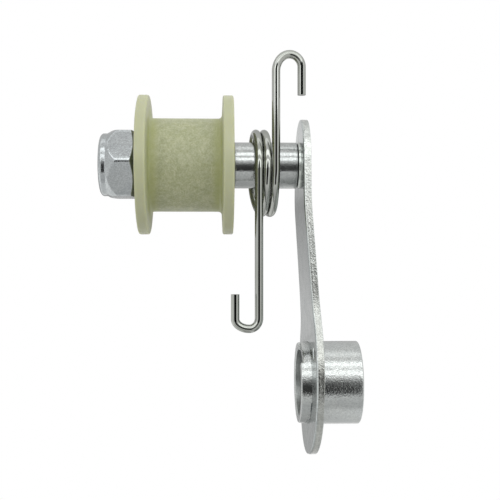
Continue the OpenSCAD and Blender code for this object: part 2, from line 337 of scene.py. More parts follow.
def handling_marks(name):
    """Hairline scratches, rubbed patches and specks from handling."""
    tree, given, leave = group(name, [
        ("Vector", VECTOR, None), ("Amount", NUMBER, 0.5), ("Seed", NUMBER, 0.0),
    ], [("Scratches", NUMBER), ("Rubbed", NUMBER), ("Specks", NUMBER)])
    moved = vector_maths("ADD", given["Vector"], join(given["Seed"]))[0]
    lines = []
    for turn, stretch in ((0.5, 0.06), (1.9, 0.05), (2.7, 0.09)):
        turned = linked("ShaderNodeMapping", {
            "Vector": moved, "Rotation": (turn, turn * 1.7, turn * 0.6),
            "Scale": (1.0, stretch, stretch)}).outputs[0]
        lines.append(span(noise_value(turned, 5200.0, 1.0, 0.4), 0.70, 0.76))
    place = span(noise_value(moved, 190.0, 2.0), 0.42, 0.62)
    rubbed = span(noise_value(moved, 330.0, 6.0, 0.7, 0.8), 0.52, 0.72)
    dots = linked("ShaderNodeTexVoronoi", {"Vector": moved, "Scale": 900.0}).outputs
    specks = fall(dots["Distance"], 0.02, 0.11)
    for label, value in (("Scratches", times(larger(*lines), place)),
                         ("Rubbed", rubbed), ("Specks", specks)):
        plug(leave[label], times(value, given["Amount"]))
    return tree


# Materials

def start_material(name, fixed, centre=(0.0, 0.0, 0.0)):
    """A material, its tree, the shader's inputs and Object coordinates from centre."""
    material = bpy.data.materials.new(name)
    material.use_nodes = True
    tree = material.node_tree
    shader = tree.nodes["Principled BSDF"].inputs
    for key, value in fixed.items():
        shader[key].default_value = value
    moved = linked("ShaderNodeMapping", {
        "Vector": object_place(tree), "Location": tuple(-c for c in centre)})
    return material, tree, shader, moved.outputs[0]


def object_place(tree):
    return node(tree, "ShaderNodeTexCoord").outputs["Object"]


def bump(shader, height, depth, normal=None):
    made = linked("ShaderNodeBump", {
        "Height": height, "Distance": depth, "Strength": 1.0, "Normal": normal}).outputs[0]
    plug(shader["Normal"], made)
    return made


def scaled(tint, *factors):
    """The tint with each channel multiplied, as an opaque colour."""
    return (*(value * factor for value, factor in zip(tint, factors)), 1)


def metal_material(name, tint, depth, gloss, seed, centre=(0, 0, 0), grain=0.24, cloud=0.15,
                   rings=None, marks=0.5):
    """Plated steel. rings gives the spacing and depth of turning lines."""
    material, tree, shader, vector = start_material(
        name, {"Metallic": 1.0, "Specular Tint": (0.72, 0.72, 0.72, 1)}, centre)
    zinc = use_group(plating, {
        "Vector": vector, "Tint": (*tint, 1), "Grain Size": grain,
        "Gloss Low": gloss[0], "Gloss High": gloss[1], "Cloudiness": cloud})
    worn = use_group(handling_marks, {"Vector": vector, "Amount": marks, "Seed": seed})
    tone = mix_colour(times(worn["Rubbed"], 0.35), zinc["Color"], scaled(tint, 0.72, 0.74, 0.74))
    tone = mix_colour(times(worn["Specks"], 0.5), tone, (0.16, 0.16, 0.15, 1))
    plug(shader["Base Color"], tone)
    plug(shader["Roughness"], plus(zinc["Roughness"], times(worn["Rubbed"], 0.10)))
    normal = None
    if rings:
        turning = use_group(turning_lines, {"Vector": vector, "Ring Spacing": rings[0]})
        normal = bump(shader, turning["Height"], rings[1])
    normal = bump(shader, zinc["Height"], depth, normal)
    bump(shader, times(worn["Scratches"], -1.0), 4e-6, normal)
    return material, tree, shader


def sheet_material(arm):
    """Satin plated sheet; the attribute cut_edge marks the torn edge."""
    material, tree, shader = metal_material(
        "zinc_sheet", arm.tint, 2.0e-6, (0.13, 0.21), 0.3, grain=0.42, cloud=0.2, marks=0.6)
    edge, vector = attribute(tree, "cut_edge"), object_place(tree)
    crystals = noise_value(vector, 3800.0, 2.0, 0.7)
    bump(shader, times(crystals, edge), 5.5e-5, present(shader["Normal"]))
    height = split(vector)[2]
    # The cut edge is darker towards the bottom and lighter towards the top
    torn = mix_colour(span(height, 0.012, 0.026), (0.80, 0.77, 0.735, 1), (1.03, 1.0, 0.97, 1))
    shade = mix_colour(edge, WHITE, torn)
    # Painted shade darkens the rolled corner below the pivot, hiding its highlight line there
    corner = times(span(edge, 0.03, 0.12), fall(edge, 0.3, 0.9), fall(height, -0.004, 0.001))
    shade = mix_colour(corner, shade, (0.66, 0.66, 0.66, 1))
    plug(shader["Base Color"], tinted(present(shader["Base Color"]), shade))
    satin = linked("ShaderNodeMix", {0: edge, 2: present(shader["Roughness"]), 3: 0.15},
                   data_type="FLOAT").outputs[0]
    plug(shader["Roughness"], satin)
    return material


def nylon_material(name, tint, root_shade_tint, roots, centre):
    """Moulded nylon: fibrous speckle, soft clouds and painted shade at the roots beside the flanges.
    """
    material, _, shader, vector = start_material(name, {
        "Subsurface Weight": 0.5, "Subsurface Radius": (1.0, 0.9, 0.4),
        "Subsurface Scale": 0.0022, "IOR": 1.5}, centre)
    radius = off_axis(vector)
    fibre = noise_value(vector, 3300.0, 3.0, 0.72, 0.6)
    blotch = noise_value(vector, 900.0, 4.0, 0.6, 0.5)
    cloud = noise_value(vector, 210.0, 3.0, 0.55)
    barrel = fall(radius, 0.0098, 0.0112)
    deep, pale = scaled(tint, 0.72, 0.73, 0.64), scaled(tint, 1.15, 1.13, 1.20)
    flange = mix_colour(times(span(cloud, 0.35, 0.65), 0.30), pale, (*tint, 1))
    speckle = plus(times(span(fibre, 0.36, 0.64), 0.62), times(span(blotch, 0.38, 0.62), 0.38))
    mottled = mix_colour(speckle, deep, pale)
    glass = use_group(handling_marks, {"Vector": vector, "Amount": 1.0, "Seed": 6.4})
    mottled = mix_colour(times(glass["Scratches"], 0.75), mottled, scaled(tint, 1.45, 1.42, 1.6))
    tone = mix_colour(barrel, flange, mottled)
    if roots:
        middle, half = (roots[0] + roots[1]) / 2, (roots[1] - roots[0]) / 2
        off = maths("ABSOLUTE", minus(split(vector)[0], middle))
        # Painted shade deepens the colour in the corners where the barrel meets the flanges
        root_shade = times(span(off, half - 0.0026, half - 0.0004),
                     fall(off, half + 0.0002, half + 0.0007),
                     span(radius, 0.0125, 0.0100), 0.75)
        tone = mix_colour(root_shade, tone, (*root_shade_tint, 1))
    worn = use_group(handling_marks, {"Vector": vector, "Amount": 0.5, "Seed": 1.7})
    tone = mix_colour(times(worn["Specks"], 0.25), tone, scaled(tint, 0.55, 0.55, 0.4))
    plug(shader["Base Color"], tone)
    plug(shader["Roughness"], plus(span(fibre, 0.3, 0.7, 0.38, 0.56), times(worn["Rubbed"], 0.08)))
    height = plus(times(fibre, plus(barrel, 0.35)), times(blotch, 0.8))
    normal = bump(shader, height, 7e-6)
    bump(shader, times(worn["Scratches"], -1.0), 6e-6, normal)
    return material


def wire_material(spring):
    """Polished wire with drawing lines along it, read from the attribute wire_path, and a painted
    dark reflection down its front.
    """
    material, tree, shader, vector = start_material("spring_wire", {
        "Metallic": 1.0, "Specular Tint": (0.62, 0.62, 0.62, 1)})
    drawn = linked("ShaderNodeMapping", {
        "Vector": attribute(tree, "wire_path", "Vector"), "Scale": (0.05, 1.0, 1.0)}).outputs[0]
    lines = noise_value(drawn, 9000.0, 2.0, 0.6)
    worn = use_group(handling_marks, {"Vector": vector, "Amount": 0.6, "Seed": 4.1})
    stain = span(noise_value(vector, 260.0, 4.0, 0.6), 0.4, 0.65)
    tone = mix_colour(times(stain, 0.35), (*spring.tint, 1), scaled(spring.tint, 0.80, 0.82, 0.76))
    tone = mix_colour(times(worn["Specks"], 0.6), tone, (0.12, 0.12, 0.11, 1))
    # Painted dark reflection: a near black line down the wire's front, wider on the two short ends,
    # most on the upper one
    along = split(vector)[0]
    wider = larger(span(along, -0.0105, -0.0085, 0.0, 0.034),
                   span(along, -0.0172, -0.0184, 0.0, 0.014))
    line = times(span(plus(attribute(tree, "dark_reflection_front"), wider), 0.974, 0.989),
                 span(attribute(tree, "upright"), 0.90, 0.97))
    # The near black colour is the painted dark reflection
    plug(shader["Base Color"], mix_colour(line, tone, (0.010, 0.011, 0.010, 1)))
    plug(shader["Roughness"], plus(span(lines, 0.35, 0.7, 0.04, 0.09), times(worn["Rubbed"], 0.06)))
    normal = bump(shader, lines, 8e-7)
    bump(shader, times(worn["Scratches"], -1.0), 2e-6, normal)
    return material


def paint_seam_shade(tree, shader):
    """Paints shade into the fine gap that shows between boss and plate at the lower front."""
    place = object_place(tree)
    along, across, height = split(place)
    gap = times(span(noise_value(place, 1500.0, 1.0), 0.35, 0.55, 0.25, 0.8),
                span(along, -0.00421, -0.00417), fall(along, -0.0040, -0.0039),
                fall(across, -0.0010, -0.0006), fall(height, -0.0030, -0.0027))
    # Painted shade: near black in the gap below the boss at the front
    tone = mix_colour(gap, present(shader["Base Color"]), (0.06, 0.07, 0.075, 1))
    plug(shader["Base Color"], tone)


def dull_bore(tree, shader, radius):
    """Makes the reamed bore duller than the turned outside."""
    bore = span(off_axis(object_place(tree)), radius, radius + 0.0002, 0.30, 0.0)
    plug(shader["Roughness"], plus(present(shader["Roughness"]), bore))


def shade_stud(tree, shader):
    """Dulls the stud beside the plate, paints shade into its groove there and a painted highlight on
    the strip right of it.
    """
    along = split(object_place(tree))[0]
    dull = span(along, -0.0125, -0.0110, 0.0, 0.06)
    plug(shader["Roughness"], plus(present(shader["Roughness"]), dull))
    # Painted shade darkens the groove; a painted highlight lightens the stud between the groove and
    # the plate
    groove = times(span(along, -0.00642, -0.00637), fall(along, -0.00617, -0.00612))
    shade = mix_colour(span(along, -0.00616, -0.00612), WHITE, (1.1, 1.12, 1.08, 1))
    shade = mix_colour(groove, shade, (0.08, 0.08, 0.08, 1))
    plug(shader["Base Color"], tinted(present(shader["Base Color"]), shade))


# Mesh helpers

def add_piece(name, points, faces, material, body, replaced, sharp=32.0):
    """Makes a closed piece from points in millimetres and puts it on its body."""
    mesh = bpy.data.meshes.new(name)
    mesh.from_pydata((np.asarray(points, float) * MM).tolist(), [], faces)
    work = bmesh.new()
    work.from_mesh(mesh)
    bmesh.ops.remove_doubles(work, verts=work.verts, dist=1e-8)
    bmesh.ops.recalc_face_normals(work, faces=work.faces)
    work.to_mesh(mesh)
    work.free()
    mesh.materials.append(material)
    piece = add_object(name, mesh)
    finish_piece(piece, body, replaced, sharp)
    return piece


def add_object(name, data):
    made = bpy.data.objects.new(name, data)
    bpy.context.scene.collection.objects.link(made)
    return made


def finish_piece(piece, body, replaced, sharp):
    """Shades a finished mesh and puts it on its body."""
    if not piece.data.polygons:
        raise RuntimeError(piece.name + " came out empty")
    piece.data.shade_smooth()
    piece.data.set_sharp_from_angle(angle=math.radians(sharp))
    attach(piece, body)
    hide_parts(*replaced)


def section(corners, closed=True, steps=5):
    """Turns (x, radius, rounding) corners into a section with rounded corners."""
    made = []
    count = len(corners)
    for i, (x, r, rounding) in enumerate(corners):
        corner = np.array((x, r), float)
        if rounding <= 0 or (not closed and i in (0, count - 1)):
            made.append(tuple(corner))
            continue
        sides = []
        for other in (corners[i - 1], corners[(i + 1) % count]):
            way = np.array(other[:2], float) - corner
            size = np.linalg.norm(way)
            sides.append(corner + way / size * min(rounding, size * 0.49))
        for k in range(steps + 1):
            t = k / steps
            made.append(tuple((1 - t) ** 2 * sides[0] + 2 * t * (1 - t) * corner + t * t * sides[1]))
    return made


def fill_in(rows, longest, closed=True):
    """Adds points to a section so that no step is longer than given."""
    made = []
    last = len(rows) if closed else len(rows) - 1
    for i in range(last):
        a, b = np.array(rows[i]), np.array(rows[(i + 1) % len(rows)])
        parts = max(1, int(math.ceil(np.linalg.norm(b - a) / longest)))
        made += [tuple(a + (b - a) * k / parts) for k in range(parts)]
    if not closed:
        made.append(tuple(rows[-1]))
    return made


def turned(rows, angles, axis_z, closed=True, shape=None):
    """Points and faces of a section turned about the X axis at height axis_z."""
    rows = np.array(rows, float)
    x = np.repeat(rows[:, :1], len(angles), 1)
    r = np.repeat(rows[:, 1:2], len(angles), 1)
    a = np.broadcast_to(angles, x.shape)
    if shape:
        x, r = shape(x, r, a)
    points = round_axis(x, r, a) + (0.0, 0.0, axis_z)
    m, n = x.shape
    flat = points.reshape(-1, 3)
    number = np.arange(m * n).reshape(m, n)
    for i in range(m):
        if rows[i, 1] < 1e-9:
            number[i] = number[i, 0]
    faces = []
    for i in range(m if closed else m - 1):
        k = (i + 1) % m
        for j in range(n):
            q = (j + 1) % n
            ring = [number[i, j], number[i, q], number[k, q], number[k, j]]
            ring = [int(v) for p, v in enumerate(ring) if v != ring[p - 1]]
            if len(ring) > 2:
                faces.append(ring)
    used = sorted({v for f in faces for v in f})
    again = {v: i for i, v in enumerate(used)}
    return flat[used], [[again[v] for v in f] for f in faces]


def round_axis(x, r, a):
    """Points at distance r and angle a from the X axis."""
    return np.stack([x, r * np.cos(a), r * np.sin(a)], -1)


def even_angles(count):
    return np.arange(count) * 2 * math.pi / count


def field(points, size, seed=0.0):
    """Smooth noise from -1 to 1 at each point; size in millimetres."""
    points = np.asarray(points, float)
    shift = Vector((seed, seed * 0.7, -seed * 1.3))
    values = [noise.noise(Vector(p) + shift) for p in points.reshape(-1, 3) / size]
    return np.array(values).reshape(points.shape[:-1])


def soft_min(a, b, blend):
    return (a + b - np.sqrt((a - b) ** 2 + blend ** 2)) / 2


# Arm plate

def arc(centre, radius, start, end, steps):
    angles = np.radians(np.linspace(start, end, steps + 1))
    return [(centre[0] + radius * math.cos(a), centre[1] + radius * math.sin(a)) for a in angles]


def squash(points, amount):
    """Pushes the bottom of the eye up a little, as the shears left it."""
    return [(y, z + amount * (max(0.0, -5.0 - z) / 9.25) ** 2) for y, z in points]


def arm_outline(arm):
    """The stamped outline as (y, z) points, anticlockwise from the bottom."""
    lean, flare, lift = 4.7, 25.0, 1.75
    eye, top = arm.eye_radius / MM, arm.top_radius / MM
    s, c = math.sin(math.radians(lean)), math.cos(math.radians(lean))
    out = top + flare + (AXLE_Z - lift) * s
    up = math.sqrt((eye + flare) ** 2 - out ** 2)
    centre = (out * c - up * s, lift + out * s + up * c)
    touch = math.degrees(math.atan2(centre[1] - lift, centre[0]))
    half = (squash(arc((0, lift), eye, -90, touch, 120), arm.flat_bottom / MM)
            + arc(centre, flare, 180 + touch, 180 + lean, 60)[1:]
            + arc((0, AXLE_Z), top, lean, 90, 80))
    return half + [(-y, z) for y, z in half[-2:0:-1]]


def resample(loop, spacing):
    """Points evenly spaced round a closed loop, with outward normals."""
    loop = np.array(loop + [loop[0]], float)
    steps = np.linalg.norm(np.diff(loop, axis=0), axis=1)
    run = np.concatenate([[0], np.cumsum(steps)])
    count = int(run[-1] / spacing)
    at = np.arange(count) * run[-1] / count
    points = np.stack([np.interp(at, run, loop[:, k]) for k in (0, 1)], -1)
    way = np.roll(points, -1, 0) - np.roll(points, 1, 0)
    way /= np.linalg.norm(way, axis=1)[:, None]
    return points, np.stack([way[:, 1], -way[:, 0]], -1)


def inside(points, loop):
    """Which points lie inside a closed loop."""
    y, z = points[:, 0][:, None], points[:, 1][:, None]
    a, b = loop, np.roll(loop, -1, 0)
    crossing = (a[:, 1] > z) != (b[:, 1] > z)
    with np.errstate(divide="ignore", invalid="ignore"):
        at = a[:, 0] + (z - a[:, 1]) / (b[:, 1] - a[:, 1]) * (b[:, 0] - a[:, 0])
    return (np.sum(crossing & (y < at), axis=1) % 2) == 1


class Joggle:
    """X of the sheet's faces at each height. share is 0 left and 1 right."""
    low_z, angle = 8.6, math.radians(3.9)

    def __init__(self, arm):
        self.t, self.bend = arm.thickness / MM, arm.bend_radius / MM
        step = PLATE_LOW_X - PLATE_TOP_X
        turn = (2 * self.bend + self.t) * (1 - math.cos(self.angle))
        run = (step - turn) / math.sin(self.angle)
        self.top_z = (self.low_z + (2 * self.bend + self.t) * math.sin(self.angle)
                      + run * math.cos(self.angle))

    def face(self, off, z):
        low_r, top_r = self.bend + off, self.bend + self.t - off
        low_x, top_x = PLATE_LOW_X - self.bend, PLATE_TOP_X + self.bend + self.t
        z0 = self.low_z + low_r * math.sin(self.angle)
        z1 = self.top_z - top_r * math.sin(self.angle)
        x0 = low_x + low_r * math.cos(self.angle)
        x1 = top_x - top_r * math.cos(self.angle)
        slope = x0 + (x1 - x0) * (z - z0) / (z1 - z0)
        low = low_x + np.sqrt(low_r ** 2 - np.clip(z - self.low_z, 0, low_r) ** 2)
        top = top_x - np.sqrt(top_r ** 2 - np.clip(self.top_z - z, 0, top_r) ** 2)
        tip = 0.35 * (np.clip(-2.0 - z, 0, None) / 12.25) ** 2
        return np.where(z < z0, low, np.where(z > z1, top, slope)) - tip

    def x(self, share, z):
        left, right = self.face(0.0, z), self.face(self.t, z)
        return left + (right - left) * share


def grid(across, up):
    """Flat points in rows; both spans are given as start, end and step."""
    y, z = np.meshgrid(np.arange(*across), np.arange(*up))
    return np.stack([y.ravel(), z.ravel()], -1)


def arm_points(edge):
    """Points that fill the flat outline: a grid, finer beside the dent and the crease."""
    wide = grid((-17, 17, 0.8), (-15, 53, 0.8))
    wide = wide[(dent_depth(wide, 1.3) == 0) & (crease_depth(wide, 1.1) == 0)]
    fine = grid((-12.5, -8.5, 0.13), (5, 9.2, 0.13))
    fine = fine[dent_depth(fine, 1.15) > 0]
    line = grid((-11, 9, 0.3), (6, 12, 0.15))
    line = line[(crease_depth(line, 1.0) > 0) & (dent_depth(line, 1.3) == 0)]
    cloud = np.concatenate([wide, fine, line])
    cloud = cloud[inside(cloud, edge)]
    gap = np.min(np.linalg.norm(cloud[:, None] - edge[None, ::3], axis=2), axis=1)
    cloud = cloud[gap > 0.3]
    for centre, radius, _ in HOLES:
        cloud = cloud[np.linalg.norm(cloud - centre, axis=1) > radius + 0.35]
    return cloud


# The dent and the crease, in millimetres and degrees
DENT_FROM_PIVOT, DENT_TURN, DENT_RADIUS, DENT_DEEP = 12.6, 33.6, 0.85, 0.42
CREASE_START, CREASE_END = np.array((6.3, 7.2)), np.array((-8.2, 9.8))
CREASE_HALF_WIDTH, CREASE_DEEP = 0.55, 0.07


def dent_depth(flat, reach=1.0):
    """Stake dent pressed into the left face, 1 at its deepest."""
    y, z = flat[:, 0], flat[:, 1]
    radius = np.hypot(y, z)
    swing = np.degrees(np.arctan2(z, -y)) - DENT_TURN
    along = np.clip(np.abs(swing) - 1.5, 0, None) * math.pi * DENT_FROM_PIVOT / 180
    away = np.hypot(radius - DENT_FROM_PIVOT, along) / (DENT_RADIUS * reach)
    return np.clip(1 - away ** 2, 0, None)


def crease_depth(flat, reach=1.0):
    """Shallow crease where the lower bend of the joggle starts."""
    way = CREASE_END - CREASE_START
    size = np.linalg.norm(way)
    way /= size
    rel = flat - CREASE_START
    along = rel @ way
    past = np.clip(np.maximum(-along, along - size), 0, None)
    away = np.hypot(rel @ np.array((-way[1], way[0])), past) / (CREASE_HALF_WIDTH * reach)
    return np.clip(1 - away ** 2, 0, None)


# The cut edge from the left face to the right one, as shares of the thickness and
# how far each is short of the outline: rolled side, burnished land, torn band and burr
CUT_ROWS = (
    (0.10, 0.060), (0.15, 0.022), (0.22, 0.004), (0.32, 0.0), (0.40, 0.0), (0.47, 0.012),
    (0.55, 0.02), (0.63, 0.02), (0.71, 0.02), (0.79, 0.02), (0.87, 0.022), (0.94, 0.018),
    (0.985, 0.03), (1.0, 0.07))
# Holes for bush and stud: centre, radius on both faces and points round it
HOLES = ((np.array((0.0, 0.0)), 8.12, 200), (np.array((0.0, AXLE_Z)), 4.12, 120))
# Their walls, as shares of the thickness and radii
HOLE_WALLS = (((0.0, 7.98), (0.05, 7.92), (0.95, 7.92), (1.0, 7.98)), ((0.0, 3.42), (0.6, 3.42)))
FAR_FROM_EDGE = 9.0


def arm_mesh(arm):
    """The plate's points, its faces and how torn each point is."""
    joggle = Joggle(arm)
    outline, normals = resample(arm_outline(arm), 0.2)
    rolled, relief = arm.rolled_edge / MM, arm.cut_relief / MM
    loops = [(outline - normals * d, d) for d in (rolled, 0.2, 0.3, 0.45, 0.7)]
    face_edge, filled = loops[0][0], loops[-1][0]
    for centre, radius, count in HOLES:
        loops += [(centre + (radius + extra) * circle(count), FAR_FROM_EDGE)
                  for extra in (0.0, 0.25)]
    flat, edges, depth, starts = [], [], [], []
    for loop, inset in loops:
        start, count = len(flat), len(loop)
        starts.append((start, count))
        flat += loop.tolist()
        depth += [inset] * count
        edges += [(start + i, start + (i + 1) % count) for i in range(count)]
    cloud = arm_points(filled)
    flat = np.array(flat + cloud.tolist())
    depth = np.array(depth + [FAR_FROM_EDGE] * len(cloud))
    _, _, tris, origin, _, _ = delaunay_2d_cdt([Vector(p) for p in flat], edges, [], 0, 1e-6)
    tris = np.array([[origin[v][0] for v in t] for t in tris])
    centres = flat[tris].mean(1)
    keep = inside(centres, face_edge)
    for centre, radius, _ in HOLES:
        keep &= np.linalg.norm(centres - centre, axis=1) > radius * 0.9995
    tris = tris[keep]

    def lay(share, spots):
        """Flat points bent into the sheet; share is 0 left and 1 right."""
        return np.stack([joggle.x(share, spots[:, 1]), spots[:, 0], spots[:, 1]], -1)

    place = np.insert(flat, 0, 0.0, axis=1)
    wave = 0.022 * field(place, 9.0, 2.0) + 0.008 * field(place, 3.0, 5.0)
    wave *= np.clip(depth / 0.7, 0, 1)
    # The edge was rolled less towards the bottom of the eye
    strength = 0.02 + 0.09 * np.clip((flat[:, 1] + 8.0) / 6.0, 0, 1)
    roll = strength * np.clip(1 - (depth - rolled) / 0.5, 0, 1) ** 2
    sunk = DENT_DEEP * dent_depth(flat) + CREASE_DEEP * crease_depth(flat)
    left, right = lay(0.0, flat), lay(1.0, flat)
    left[:, 0] += roll + sunk + wave * (sunk < 0.01)
    right[:, 0] += wave - 0.02 * np.clip(1 - depth / 0.5, 0, 1)
    count = len(flat)
    faces = tris.tolist() + (tris[:, ::-1] + count).tolist()
    stack, marks = [left, right], [np.zeros(2 * count)]

    def ring(solid, mark):
        """Adds a ring of points and returns their numbers."""
        first = sum(map(len, stack))
        stack.append(solid)
        marks.append(np.full(len(solid), mark))
        return np.arange(first, first + len(solid))

    rings = []
    for share, back in CUT_ROWS:
        solid = lay(share, outline - normals * back)
        torn = float(0.16 < share < 0.97)
        rough = field(solid, 0.32, 7.0) + 0.5 * field(solid, 0.9, 3.0)
        solid[:, 1:] += normals * (relief * (0.25 + 0.75 * torn) * rough)[:, None]
        rings.append(ring(solid, 0.15 + 0.85 * torn if share < 0.98 else 0.3))
    first = np.arange(len(outline))
    bridge(faces, [first, *rings, first + count])
    for (start, size), (centre, _, _), wall in zip((starts[5], starts[7]), HOLES, HOLE_WALLS):
        first = np.arange(start, start + size)
        rings = [ring(lay(share, centre + radius * circle(size)), 0.0) for share, radius in wall]
        bridge(faces, [first, *rings, first + count])
    return np.concatenate(stack), faces, np.concatenate(marks)


def circle(count):
    return np.array([(math.cos(a), math.sin(a)) for a in even_angles(count)])


def bridge(faces, rings):
    """Quads between neighbouring rings of the same length."""
    for one, other in zip(rings, rings[1:]):
        for i in range(len(one)):
            k = (i + 1) % len(one)
            faces.append([int(one[i]), int(one[k]), int(other[k]), int(other[i])])


# Turned parts

# The worn step in the boss rim, in degrees round the bore and millimetres
WORN_FROM, WORN_TO, WORN_DEEP = 90.0, 143.3, 0.5


def bush_rows(parts):
    bore, barrel, boss = (v / MM for v in (
        parts.bore_radius, parts.barrel_radius, parts.boss_radius))
    shoulder = PLATE_LOW_X + 1.52
    return fill_in(section([
        (BUSH_LEFT, bore + 0.2, 0.05), (BUSH_LEFT, boss - 0.10, 0.05),
        (BUSH_LEFT + 0.12, boss + 0.02, 0.05), (PLATE_LOW_X, boss + 0.26, 0.0),
        (PLATE_LOW_X, boss, 0.0), (shoulder, boss, 0.0),
        (shoulder, barrel, 0.05), (BUSH_RIGHT - 0.16, barrel, 0.12),
        (BUSH_RIGHT, barrel - 0.16, 0.08), (BUSH_RIGHT, bore + 0.3, 0.07),
        (BUSH_RIGHT - 0.3, bore, 0.1), (BUSH_LEFT + 0.2, bore, 0.05),
    ]), 0.6)


def bush_shape(x, r, a):
    """Cuts the worn step into the boss rim and gives the tool's faint waviness."""
    turn = np.degrees(a) % 360
    worn = (turn > WORN_FROM) & (turn < WORN_TO)
    x = np.where(worn, np.maximum(x, BUSH_LEFT + WORN_DEEP), x)
    return x, r + 0.006 * field(round_axis(x, r, a), 2.2, 1.0) * (r > 7.3)


def stud_rows(parts):
    shoulder, journal = parts.shoulder_radius / MM, parts.journal_radius / MM
    right = PLATE_TOP_X + 1.5
    outer = section([
        (STUD_END_X + 0.5, 0.0, 0), (STUD_END_X + 0.02, 0.75, 0.1),
        (STUD_END_X, journal - 0.85, 0.12), (STUD_END_X + 0.6, journal, 0.1),
        (SHOULDER_LEFT, journal, 0), (SHOULDER_LEFT, shoulder - 0.1, 0.05),
        (SHOULDER_LEFT + 0.1, shoulder, 0.05),
        (-6.38, shoulder, 0.03), (-6.34, shoulder - 0.25, 0.03),
        (-6.17, shoulder - 0.25, 0.03), (-6.12, shoulder - 0.06, 0.03),
        (PLATE_TOP_X, shoulder + 0.03, 0.0), (PLATE_TOP_X, 3.4, 0),
        (right - 0.6, 3.4, 0), (right, 4.1, 0.05),
        (right + 0.03, 3.6, 0.2), (right - 0.03, 1.4, 0.4), (right - 0.1, 0.0, 0),
    ], closed=False)
    return fill_in(outer, 0.5, closed=False)


def thread_shape(parts):
    """Cuts the stud's thread as a helix between its end and the nut's seat."""
    pitch = parts.thread_pitch / MM
    journal = parts.journal_radius / MM

    def shape(x, r, a):
        phase = (x / pitch - a / (2 * math.pi)) % 1.0
        groove = np.clip(1.6 - 3.2 * np.abs(phase - 0.5), 0, 1)
        on = (x < NUT_FACE_X + 0.2) & (r > journal - 0.35)
        return x, np.where(on, r - 0.55 * groove, r)
    return shape


def roller_rows(roller):
    flange, barrel = roller.flange_radius / MM, roller.barrel_radius / MM
    rim = roller.rim_round / MM
    left, right = ROLLER_LEFT, ROLLER_RIGHT
    return fill_in(section([
        (left - 0.12, 4.06, 0.07), (left - 0.12, 5.3, 0.07), (left, 5.34, 0.05),
        (left, flange, rim), (left + 2.05, flange, rim),
        (left + 2.3, barrel, 0.75), (right - 2.3, barrel, 0.75),
        (right - 2.05, flange, rim), (right, flange, rim),
        (right, 5.34, 0.05), (right + 0.12, 5.3, 0.07), (right + 0.12, 4.06, 0.07),
    ], steps=8), 0.4)


def roller_shape(roller):
    """Uneven skin, warped flanges and the mould's parting line."""
    flash = roller.flash / MM

    def shape(x, r, a):
        place = round_axis(x, r, a)
        uneven = 0.010 * field(place, 0.55, 3.0)
        sway = 0.035 * field(place, 6.0, 8.0)
        warp = 0.05 * field(place * (0.2, 1, 1), 9.0, 4.0)
        groove = (x > ROLLER_LEFT + 2.0) & (x < ROLLER_RIGHT - 2.0)
        line = flash * np.exp(-((np.abs(np.sin(a - math.pi / 2)) * r / 0.13) ** 2))
        rim = np.clip((r - 11) / 2.5, 0, 1)
        side = np.where(x < (ROLLER_LEFT + ROLLER_RIGHT) / 2, -1.0, 1.0)
        outer = r > 6.0
        return (x + (warp - side * 0.02) * rim,
                r + outer * (uneven + sway * rim * 0.6) + line * groove)
    return shape


# Nut

def nut_rows(nut):
    """Section from the seat over the hexagon and its long cone to the collar."""
    collar = nut.collar_radius / MM
    cone_end = nut.cone_end / MM
    top = cone_end + nut.collar_length / MM
    reach, face, turn_in = 7.62, 5.85, 0.8
    lift = (reach - face) * math.tan(math.radians(30))
    cone_start = cone_end - (reach - collar) / 0.6
    bend = [(top - turn_in * (1 - math.sin(t)), collar - 1.2 * (1 - math.cos(t)))
            for t in np.linspace(0, math.pi / 2, 14)]
    rows = [(0.0, 4.45), (0.0, 5.0), (0.0, face)]
    rows += [(lift * t, face + (reach - face) * t) for t in np.linspace(0.08, 1, 15)]
    rows += [(u, reach) for u in np.linspace(lift, cone_start, 10)[1:-1]]
    rows += [(cone_start + (cone_end - cone_start) * t, reach + (collar - reach) * t)
             for t in np.linspace(0, 1, 22)]
    rows += [(cone_end + (top - turn_in - cone_end) * t, collar) for t in (0.15, 0.5)]
    rows += bend
    rows += [(top, 4.75), (top - 0.04, 4.70), (top - 0.4, 4.70), (top - 0.4, 5.15),
             (top - 2.0, 5.15), (top - 2.0, 4.02), (0.45, 4.02)]
    return [(NUT_FACE_X - u, r) for u, r in rows]


def nut_angles(nut):
    """Angles crowded towards the hexagon's corners."""
    steps = np.sin(np.linspace(-math.pi / 2, math.pi / 2, 49))[:-1]
    middle = math.pi - nut.turn + math.pi / 6
    return np.concatenate([middle + k * math.pi / 3 + steps * math.pi / 6 for k in range(6)])


def nut_shape(nut):
    half, soft = nut.across_flats / MM / 2, nut.corner_round / MM
    first = math.pi - nut.turn + math.pi / 6

    def shape(x, r, a):
        turn = (a - first + math.pi / 6) % (math.pi / 3) - math.pi / 6
        beside = half / np.cos(math.pi / 3 - np.abs(turn))
        hexagon = soft_min(half / np.cos(turn), beside, soft)
        held = soft_min(r, hexagon, 0.07) + 0.001
        return x, np.where(r > 5.6, held + 0.007 * field(round_axis(x, r, a), 0.9, 6.0), r)
    return shape


# Spring

